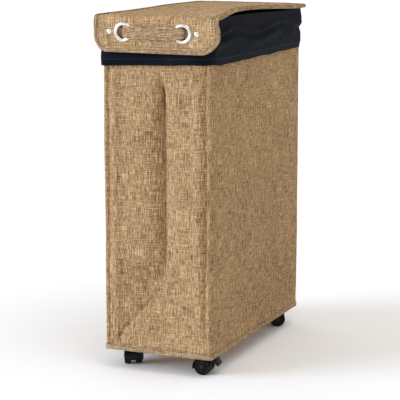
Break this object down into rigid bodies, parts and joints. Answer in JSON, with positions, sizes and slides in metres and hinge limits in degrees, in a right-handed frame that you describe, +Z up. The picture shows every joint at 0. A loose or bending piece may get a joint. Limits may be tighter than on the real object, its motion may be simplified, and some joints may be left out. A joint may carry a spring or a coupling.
{
  "type": "laundry hamper",
  "caption": "Tall slim rolling laundry hamper: woven fabric shell, fold-over liner, hinged lid with drop flap and strap handle, twin-wheel casters.",
  "frame": {"origin": "on the floor at the bottom centre of the bounding box", "axes": "+Z up, the lid's flap and handle face -Y, +X to the right seen from the flap"},
  "size_m": [0.229, 0.458, 0.625],
  "materials": {
    "burlap": "matte",
    "liner_nylon": "satin",
    "board": "matte",
    "steel_rod": "satin",
    "fastener_steel": "satin",
    "nickel": "polished",
    "caster_plastic": "satin",
    "wheel_plastic": "satin"
  },
  "bodies": {
    "shell": {"front_panel": "burlap", "back_panel": "burlap", "left_panel": "burlap", "right_panel": "burlap", "bottom_panel": "burlap", "bottom_welt": "burlap", "base_board": "board", "corner_rod_fl": "steel_rod", "corner_rod_fr": "steel_rod", "corner_rod_bl": "steel_rod", "corner_rod_br": "steel_rod", "rod_sleeve_fl": "burlap", "rod_sleeve_fr": "burlap", "rod_sleeve_bl": "burlap", "rod_sleeve_br": "burlap", "rim_wire": "steel_rod", "rim_hem": "burlap", "liner_bag": "liner_nylon", "liner_cuff": "liner_nylon", "hinge_strip": "burlap", "caster_screws": "fastener_steel", "caster_nuts": "fastener_steel", "kingpins": "fastener_steel", "caster_plate_fl": "caster_plastic", "caster_plate_fr": "caster_plastic", "caster_plate_bl": "caster_plastic", "caster_plate_br": "caster_plastic"},
    "lid": {"lid_top_fabric": "burlap", "lid_board": "board", "lid_lining": "liner_nylon", "lid_binding": "burlap"},
    "flap": {"flap_front_fabric": "burlap", "flap_board": "board", "flap_lining": "liner_nylon", "grommet_left": "nickel", "grommet_right": "nickel", "grommet_washers": "nickel", "handle_strap": "burlap", "rivets": "nickel", "rivet_caps": "nickel"},
    "caster_fl": {"caster_hood_fl": "caster_plastic", "axle_pin_fl": "fastener_steel", "lever_pin_fl": "fastener_steel"},
    "wheel_fl_a": {"wheel_fl_a": "wheel_plastic"},
    "wheel_fl_b": {"wheel_fl_b": "wheel_plastic"},
    "brake_fl": {"brake_lever_fl": "caster_plastic"},
    "caster_fr": {"caster_hood_fr": "caster_plastic", "axle_pin_fr": "fastener_steel", "lever_pin_fr": "fastener_steel"},
    "wheel_fr_a": {"wheel_fr_a": "wheel_plastic"},
    "wheel_fr_b": {"wheel_fr_b": "wheel_plastic"},
    "brake_fr": {"brake_lever_fr": "caster_plastic"},
    "caster_bl": {"caster_hood_bl": "caster_plastic", "axle_pin_bl": "fastener_steel"},
    "wheel_bl_a": {"wheel_bl_a": "wheel_plastic"},
    "wheel_bl_b": {"wheel_bl_b": "wheel_plastic"},
    "caster_br": {"caster_hood_br": "caster_plastic", "axle_pin_br": "fastener_steel"},
    "wheel_br_a": {"wheel_br_a": "wheel_plastic"},
    "wheel_br_b": {"wheel_br_b": "wheel_plastic"}
  },
  "joints": [
    {"name": "lid_hinge", "type": "hinge", "parent": "shell", "child": "lid", "pos_m": [0, 0.22935, 0.6252], "axis": [-1, 0, 0], "range_deg": [0, 250]},
    {"name": "flap_fold", "type": "hinge", "parent": "lid", "child": "flap", "pos_m": [0, -0.22055, 0.625], "axis": [-1, 0, 0], "range_deg": [0, 90]},
    {"name": "caster_fl_swivel", "type": "hinge", "parent": "shell", "child": "caster_fl", "pos_m": [-0.0645, -0.16955, 0.035], "axis": [0, 0, 1], "continuous": true},
    {"name": "wheel_fl_a_spin", "type": "hinge", "parent": "caster_fl", "child": "wheel_fl_a", "pos_m": [-0.069, -0.16176, 0.015], "axis": [-0.866, -0.5, 0], "continuous": true},
    {"name": "wheel_fl_b_spin", "type": "hinge", "parent": "caster_fl", "child": "wheel_fl_b", "pos_m": [-0.069, -0.16176, 0.015], "axis": [-0.866, -0.5, 0], "continuous": true},
    {"name": "brake_fl_press", "type": "hinge", "parent": "caster_fl", "child": "brake_fl", "pos_m": [-0.07658, -0.14863, 0.02561], "axis": [-0.866, -0.5, 0], "range_deg": [0, 20]},
    {"name": "caster_fr_swivel", "type": "hinge", "parent": "shell", "child": "caster_fr", "pos_m": [0.0645, -0.16955, 0.035], "axis": [0, 0, 1], "continuous": true},
    {"name": "wheel_fr_a_spin", "type": "hinge", "parent": "caster_fr", "child": "wheel_fr_a", "pos_m": [0.07347, -0.16877, 0.015], "axis": [-0.0872, 0.9962, 0], "continuous": true},
    {"name": "wheel_fr_b_spin", "type": "hinge", "parent": "caster_fr", "child": "wheel_fr_b", "pos_m": [0.07347, -0.16877, 0.015], "axis": [-0.0872, 0.9962, 0], "continuous": true},
    {"name": "brake_fr_press", "type": "hinge", "parent": "caster_fr", "child": "brake_fr", "pos_m": [0.08856, -0.16745, 0.02561], "axis": [-0.0872, 0.9962, 0], "range_deg": [0, 20]},
    {"name": "caster_bl_swivel", "type": "hinge", "parent": "shell", "child": "caster_bl", "pos_m": [-0.0645, 0.18345, 0.035], "axis": [0, 0, 1], "continuous": true},
    {"name": "wheel_bl_a_spin", "type": "hinge", "parent": "caster_bl", "child": "wheel_bl_a", "pos_m": [-0.06028, 0.1914, 0.015], "axis": [-0.8829, 0.4695, 0], "continuous": true},
    {"name": "wheel_bl_b_spin", "type": "hinge", "parent": "caster_bl", "child": "wheel_bl_b", "pos_m": [-0.06028, 0.1914, 0.015], "axis": [-0.8829, 0.4695, 0], "continuous": true},
    {"name": "caster_br_swivel", "type": "hinge", "parent": "shell", "child": "caster_br", "pos_m": [0.0645, 0.18345, 0.035], "axis": [0, 0, 1], "continuous": true},
    {"name": "wheel_br_a_spin", "type": "hinge", "parent": "caster_br", "child": "wheel_br_a", "pos_m": [0.07245, 0.18768, 0.015], "axis": [-0.4695, 0.8829, 0], "continuous": true},
    {"name": "wheel_br_b_spin", "type": "hinge", "parent": "caster_br", "child": "wheel_br_b", "pos_m": [0.07245, 0.18768, 0.015], "axis": [-0.4695, 0.8829, 0], "continuous": true}
  ]
}
